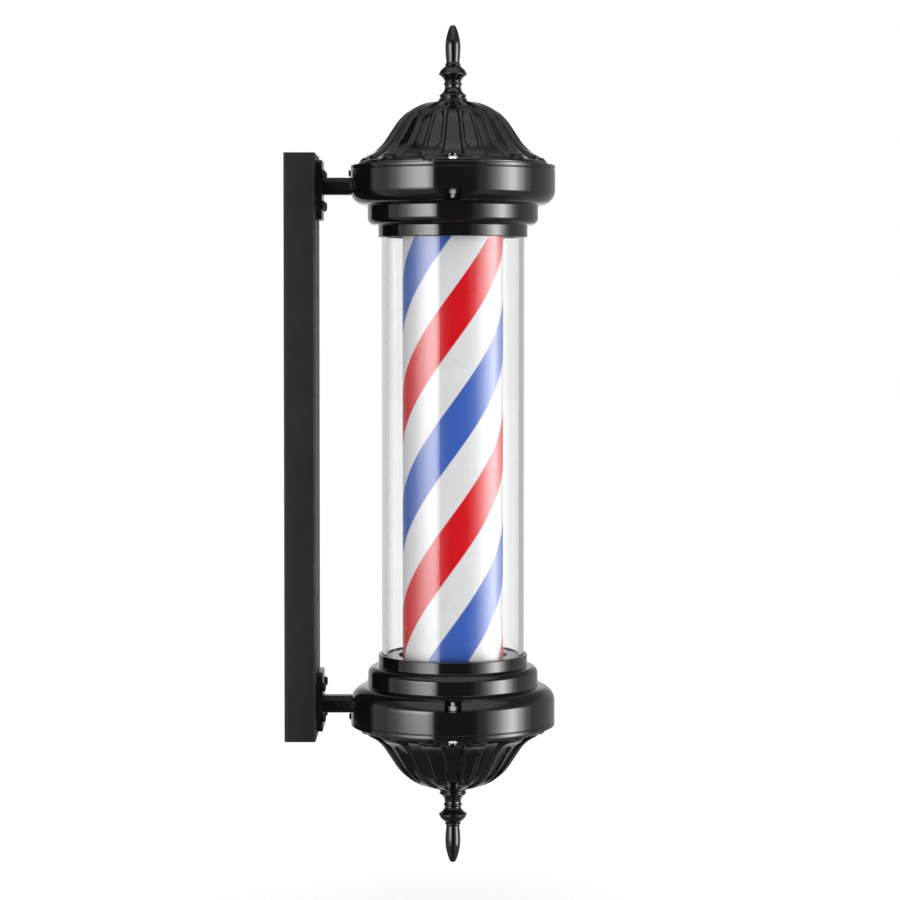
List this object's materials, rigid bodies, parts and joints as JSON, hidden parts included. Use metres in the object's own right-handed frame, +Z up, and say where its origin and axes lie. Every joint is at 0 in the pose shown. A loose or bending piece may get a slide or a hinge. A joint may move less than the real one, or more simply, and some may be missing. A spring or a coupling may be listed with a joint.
{
  "type": "barber pole light",
  "caption": "Wall-hung barber pole light: clear tube with a turning striped drum, black stepped collars, ribbed domes and turned finials on a bar bracket.",
  "frame": {"origin": "on the wall, at the middle of the bracket's back face", "axes": "+X away from the wall, +Y along the wall, +Z up, parallel to the pole's axis"},
  "size_m": [0.226, 0.172, 0.706],
  "materials": {
    "satin_black": "satin powder coat",
    "arm_black": "gloss paint",
    "gloss_black": "high gloss",
    "black_screws": "dark plated",
    "zinc_screws": "bright zinc",
    "plated_steel": "zinc plated sheet",
    "clear_acrylic": "clear polished",
    "drum_white": "translucent white",
    "stripe_print": "red, white and blue printed film",
    "moulded_white": "moulded",
    "nylon": "moulded",
    "coil_winding": "wound enamelled wire",
    "magnet": "sintered",
    "holder_black": "moulded",
    "lamp_globe": "frosted",
    "rubber_black": "matte",
    "lead_sheath": "smooth"
  },
  "bodies": {
    "housing": {"wall_bracket": "satin_black", "bracket_cap_top": "satin_black", "bracket_cap_bottom": "satin_black", "inlet_grommet": "rubber_black", "arm_top": "arm_black", "arm_bottom": "arm_black", "arm_plate_screws": "black_screws", "top_saddle": "plated_steel", "bottom_saddle": "plated_steel", "arm_bolts": "zinc_screws", "saddle_screws": "black_screws", "top_collar": "gloss_black", "bottom_collar": "gloss_black", "top_dome": "gloss_black", "bottom_dome": "gloss_black", "dome_bolts": "zinc_screws", "dome_nuts": "zinc_screws", "top_finial": "gloss_black", "bottom_finial": "gloss_black", "finial_studs": "zinc_screws", "finial_nuts": "zinc_screws", "outer_tube": "clear_acrylic", "tube_gasket_top": "rubber_black", "tube_gasket_bottom": "rubber_black", "guide_sleeve": "nylon", "motor_plate": "plated_steel", "motor_plate_screws": "zinc_screws", "motor_base": "plated_steel", "motor_can": "plated_steel", "motor_coil": "coil_winding", "rotor_pin": "zinc_screws", "idler_pin": "zinc_screws", "motor_screws": "zinc_screws", "lamp_plate": "plated_steel", "lamp_plate_screws": "zinc_screws", "lamp_holder": "holder_black", "lamp_nipple": "zinc_screws", "nipple_nut": "zinc_screws", "bulb_base": "zinc_screws", "bulb_body": "moulded_white", "bulb_globe": "lamp_globe", "terminal_block": "nylon", "motor_lead": "lead_sheath", "lamp_lead": "lead_sheath"},
    "pole": {"pole_cylinder": "drum_white", "stripe_film": "stripe_print", "pole_top_cap": "moulded_white", "hub_set_screw": "zinc_screws", "pole_bottom_ring": "moulded_white", "output_gear": "nylon", "output_shaft": "zinc_screws"},
    "idler": {"idler_gear": "nylon"},
    "rotor": {"motor_rotor": "magnet"}
  },
  "joints": [
    {"name": "pole_spin", "type": "hinge", "parent": "housing", "child": "pole", "pos_m": [0.14, 0, 0], "axis": [0, 0, 1], "continuous": true},
    {"name": "idler_spin", "type": "hinge", "parent": "housing", "child": "idler", "pos_m": [0.14, 0.011, 0.2], "axis": [0, 0, 1], "continuous": true},
    {"name": "rotor_spin", "type": "hinge", "parent": "housing", "child": "rotor", "pos_m": [0.14, 0, 0.208], "axis": [0, 0, 1], "continuous": true}
  ],
  "couplings": [
    {"joint": "idler_spin", "follows": "pole_spin", "ratio": -4},
    {"joint": "rotor_spin", "follows": "pole_spin", "ratio": 16}
  ]
}
